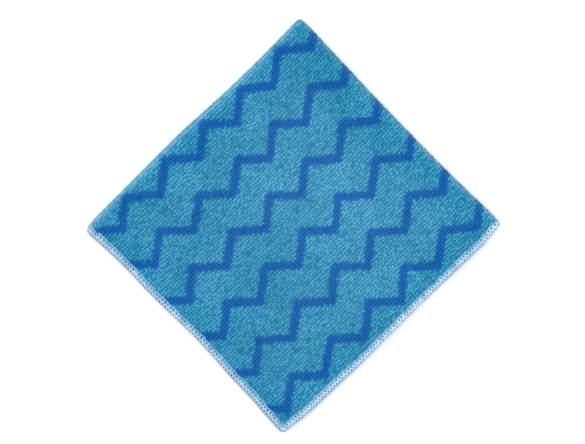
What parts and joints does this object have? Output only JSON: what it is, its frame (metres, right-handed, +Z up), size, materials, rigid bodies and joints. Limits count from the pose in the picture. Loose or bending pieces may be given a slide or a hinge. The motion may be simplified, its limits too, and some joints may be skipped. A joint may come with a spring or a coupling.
{
  "type": "folded microfibre cloth",
  "caption": "Looped blue microfibre cloth with a darker zigzag and a pale overlocked edge, folded in quarters and lying flat.",
  "frame": {"origin": "on the surface it lies on, under the middle of the folded square", "axes": "+Z up through the layers, +X along the knitted ribs towards the second fold, +Y across the ribs towards the first fold"},
  "size_m": [0.206, 0.1986, 0.0121],
  "materials": {
    "microfibre": "soft looped microfibre knit, dull, mid blue with a deeper blue zigzag",
    "overlock_yarn": "textured pale blue overlock yarn, dull"
  },
  "bodies": {
    "root": {"folded_cloth": "microfibre"}
  },
  "joints": []
}
